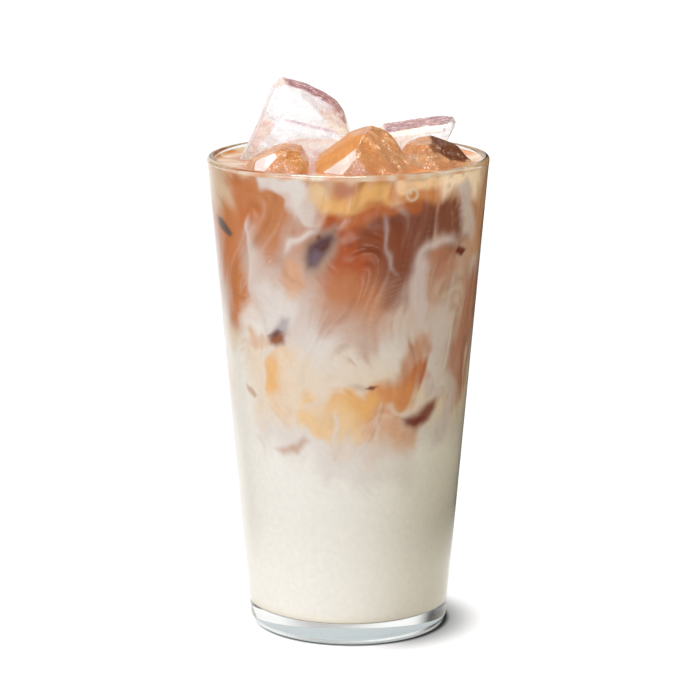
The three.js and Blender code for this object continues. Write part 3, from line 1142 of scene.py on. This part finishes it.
def lit_white_acrylic():
    """White acrylic lit from below: an even white, with a painted dark contact line and a painted soft
    shadow at the foot, and under it a painted shade lifted by a painted glow.
    """
    material, tree, place = new_material("lit_white_acrylic")
    tint = mixed(tree, grain_of(tree, place, FLOOR_GRAIN), rgba("#E2E3E7"), rgba("#E4E5E9"))
    # painted dark contact line round the foot, and painted shade under it
    from_foot = distance_from(tree, place, CONTACT_RING_SHIFT)
    inside, dark_from, dark_to, outside = [r * MM for r in CONTACT_RING]
    inner = ranged(tree, from_foot, inside, dark_from, UNDER_FOOT_LIGHT, 0)
    outer = ranged(tree, from_foot, dark_to, outside, CONTACT_RING_LIGHT)
    # painted soft shadow to the right of the foot
    darkest, bare = [r * MM for r in CONTACT_SHADE]
    from_shade = distance_from(tree, place, CONTACT_SHADE_MIDDLE)
    shade = ranged(
        tree, from_shade, darkest, bare, 1 - CONTACT_SHADE_LIGHT, 0, interpolation_type="SMOOTHSTEP")
    shaded = maths(tree, "MULTIPLY", shade, left_to_right(tree, place, CONTACT_SHADE_START))
    beyond = maths(tree, "MULTIPLY", outer, rest_of(tree, shaded))
    open_share = maths(tree, "ADD", inner, beyond, use_clamp=True)
    # painted glow, stronger under the foot
    gathered = ranged(tree, from_foot, inside, dark_from, UNDER_FOOT_GLOW, FLOOR_GLOW)
    add_surface(tree, "BsdfPrincipled", {
        "Base Color": scaled(tree, tint, open_share),
        "Roughness": 0.9,
        "Specular IOR Level": 0.0,
        "Emission Color": rgba("#F6F9FF"),
        "Emission Strength": maths(tree, "MULTIPLY", gathered, open_share),
    })
    return material


def make_floor():
    half = FLOOR_SIDE / 2
    corners = [(x, y, -FLOOR_DROP) for y in (-half, half) for x in (-half, half)]
    piece = mesh_object("floor", corners, [(0, 1, 3, 2)])
    piece.data.materials.append(lit_white_acrylic())


def lit_white_cloth():
    """White cloth lit from behind: an even glow with a soft grey shade on it, dim at its left end."""
    material, tree, place = new_material("lit_white_cloth")
    from_spot = distance_from(tree, place, GREY_SPOT)
    glow = ranged(
        tree, from_spot, 0, GREY_SPOT_RADIUS * MM, GREY_SPOT_LIGHT, interpolation_type="SMOOTHSTEP")
    light = maths(tree, "MULTIPLY", glow, left_to_right(tree, place, BACKDROP_DIM))
    add_surface(tree, "Emission", {"Color": rgba("#FFFFFF"), "Strength": light})
    return material


def make_backdrop():
    """A lit wall far behind: all of it shows through ice and glass, its middle as gloss."""
    cloth = lit_white_cloth()
    sides = {
        "backdrop": (-BACKDROP_LEFT, BACKDROP_RIGHT),
        "white_card": (-WHITE_CARD_LEFT, WHITE_CARD_RIGHT),
    }
    for name, left_and_right in sides.items():
        corners = [(x, BACKDROP_AWAY, z) for z in (0, BACKDROP_HEIGHT) for x in left_and_right]
        piece = mesh_object(name, corners, [(0, 1, 3, 2)])
        piece.data.materials.append(cloth)
        is_card = name == "white_card"
        hide_from(["camera", "diffuse", "transmission"] if is_card else ["glossy"], piece)


def bent_card(name, away, height, headings):
    """A black card bent round the glass, with soft ends and a soft lower edge."""
    turns = np.linspace(*headings, FLAG_COLUMNS)
    levels = (0, FLAG_FADE, height)
    corners = []
    covers = []
    for turn in turns:
        from_end = min(turn - headings[0], headings[1] - turn)
        for z in levels:
            corners.append((away * math.sin(math.radians(turn)), -away * math.cos(math.radians(turn)), z))
            covers.append(float(z > 0) * float(smooth_step(0, FLAG_END_FADE, from_end)))
    faces = []
    for column in range(len(turns) - 1):
        for row in range(len(levels) - 1):
            low = column * len(levels) + row
            faces.append((low, low + 1, low + len(levels) + 1, low + len(levels)))
    piece = mesh_object(name, corners, faces)
    piece.data.attributes.new("cover", "FLOAT", "POINT").data.foreach_set("value", covers)
    return piece


def black_velvet():
    """Black velvet: swallows light, and thins out to nothing at the soft edges of a card."""
    material, tree, _ = new_material("black_velvet")
    add_surface(tree, "MixShader", {
        "Fac": add_node(tree, "Attribute", attribute_name="cover").outputs["Fac"],
        1: add_node(tree, "BsdfTransparent").outputs["BSDF"],
        2: add_node(tree, "BsdfDiffuse", {"Color": rgba("#080808")}).outputs["BSDF"],
    })
    return material


def make_flags():
    """Black cards: one for the gloss of the glass, and one that keeps floor light off the right."""
    velvet = black_velvet()
    gloss_flag = bent_card("gloss_flag", FLAG_AWAY, FLAG_HEIGHT, FLAG_HEADINGS)
    shade_flag = bent_card("shade_flag", SHADE_AWAY, SHADE_HEIGHT, SHADE_HEADINGS)
    hide_from(["diffuse"], gloss_flag)
    hide_from(["glossy"], shade_flag)
    hide_from(["camera", "transmission", "shadow"], gloss_flag, shade_flag)
    for flag in (gloss_flag, shade_flag):
        flag.data.materials.append(velvet)


def face(thing, place, facing):
    """Puts a camera or a light at a place and turns it to a direction."""
    thing.location = place
    thing.rotation_euler = Vector(facing).to_track_quat("-Z", "Y").to_euler()


def make_camera():
    data = bpy.data.cameras.new("camera")
    data.sensor_width = SENSOR_MM
    data.lens = FOCAL_PX / PHOTO_SIDE_PX * SENSOR_MM
    data.clip_end = FURTHEST_SEEN_M
    camera = linked("camera", data)
    face(camera, Vector(CAMERA_MM) * MM, Vector(AIM_MM) - Vector(CAMERA_MM))
    bpy.context.scene.camera = camera


def add_light(name, kind, settings, place, facing):
    data = bpy.data.lights.new(name, kind)
    for key, value in settings.items():
        setattr(data, key, value)
    light = linked(name, data)
    face(light, place, facing)
    return light


def make_lights():
    """A soft light overhead for all, and a softbox and a small fill that are to light the part alone."""
    world = bpy.data.worlds.new("studio")
    world.use_nodes = True
    background = world.node_tree.nodes["Background"]
    background.inputs["Color"].default_value = rgba("#FFFFFF")
    background.inputs["Strength"].default_value = STUDIO_LIGHT
    bpy.context.scene.world = world
    bpy.context.scene.view_settings.view_transform = "Standard"
    add_light("overhead", "SUN", OVERHEAD, (0, 0, 1), -direction(*OVERHEAD_FROM))
    place = Vector(direction(*SOFTBOX_FROM)) * SOFTBOX_AWAY
    softbox = add_light("left_softbox", "AREA", SOFTBOX, place, Vector(SOFTBOX_AIM) - place)
    fill = add_light("right_fill", "AREA", FILL, FILL_PLACE, Vector(FILL_AIM) - Vector(FILL_PLACE))
    hide_from(["glossy", "transmission"], fill)
    return softbox, fill


make_camera()
make_floor()
make_backdrop()
make_flags()
part_lights = make_lights()

glass = make_glass()
glass.data.materials.append(soda_lime_glass())
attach(glass, "root")
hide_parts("glass")

clear_ice = wet_ice(*CLEAR_ICE_LOOK)
coffee_ice = wet_ice(*COFFEE_ICE_LOOK)
ice_blocks = []
for node_name in ICE_NODES:
    is_clear = node_name in CLEAR_ICE_NODES
    block = make_ice(node_name, clear_ice if is_clear else coffee_ice)
    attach(block, "root")
    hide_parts(node_name)
    ice_blocks.append(block)

behind_glass = milk_coffee("latte_against_glass", gloss=0.0, roughness=0.6)
in_the_open = milk_coffee("latte_surface", gloss=0.5, roughness=0.08)
drink = make_drink(ice_blocks, behind_glass, in_the_open)
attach(drink, "root")
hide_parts("milk", "coffee")

# Light passes the glass and the ice, and the shade on the floor stands for the drink's shadow
hide_from(["shadow", "diffuse"], glass, *ice_blocks)
hide_from(["shadow"], drink)

lit_part = bpy.data.collections.new("lit_by_softbox")
for piece in [glass, drink, *ice_blocks]:
    lit_part.objects.link(piece)
for light in part_lights:
    light.light_linking.receiver_collection = lit_part
